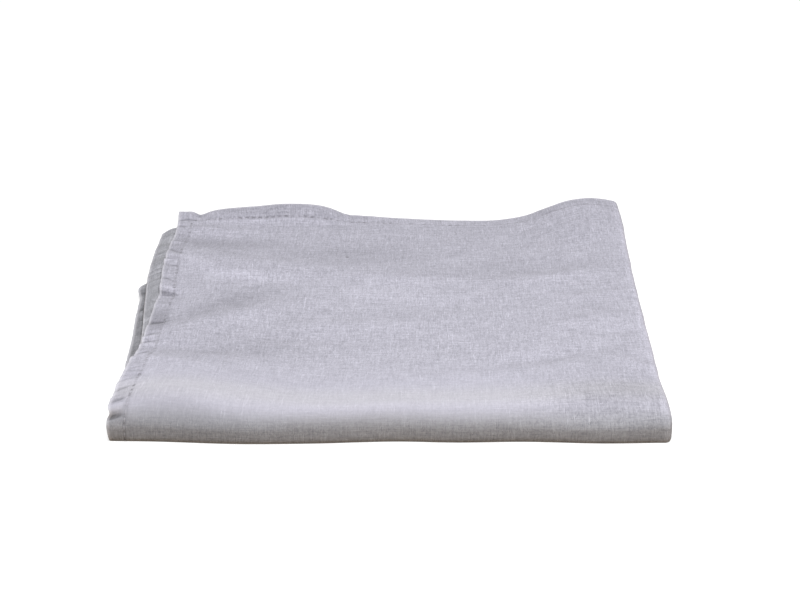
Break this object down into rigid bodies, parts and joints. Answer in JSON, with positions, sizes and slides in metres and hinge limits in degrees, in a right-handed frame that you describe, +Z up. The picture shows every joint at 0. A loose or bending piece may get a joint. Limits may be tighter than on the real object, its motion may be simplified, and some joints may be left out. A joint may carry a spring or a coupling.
{
  "type": "folded cloth napkin",
  "caption": "Plain hemmed linen napkin folded into quarters and lying flat, with uneven layered edges at the left and far sides and soft rolled folds at the right and near sides.",
  "frame": {"origin": "centre of the footprint's bounding rectangle, on the surface that the napkin lies on", "axes": "+Z up, +X from the hemmed left edges to the right fold, +Y from the near fold to the hemmed far edges"},
  "size_m": [0.2326, 0.228, 0.0192],
  "materials": {
    "linen": "matt washed linen, cool light grey with a lavender tint"
  },
  "bodies": {
    "root": {"napkin": "linen"}
  },
  "joints": []
}
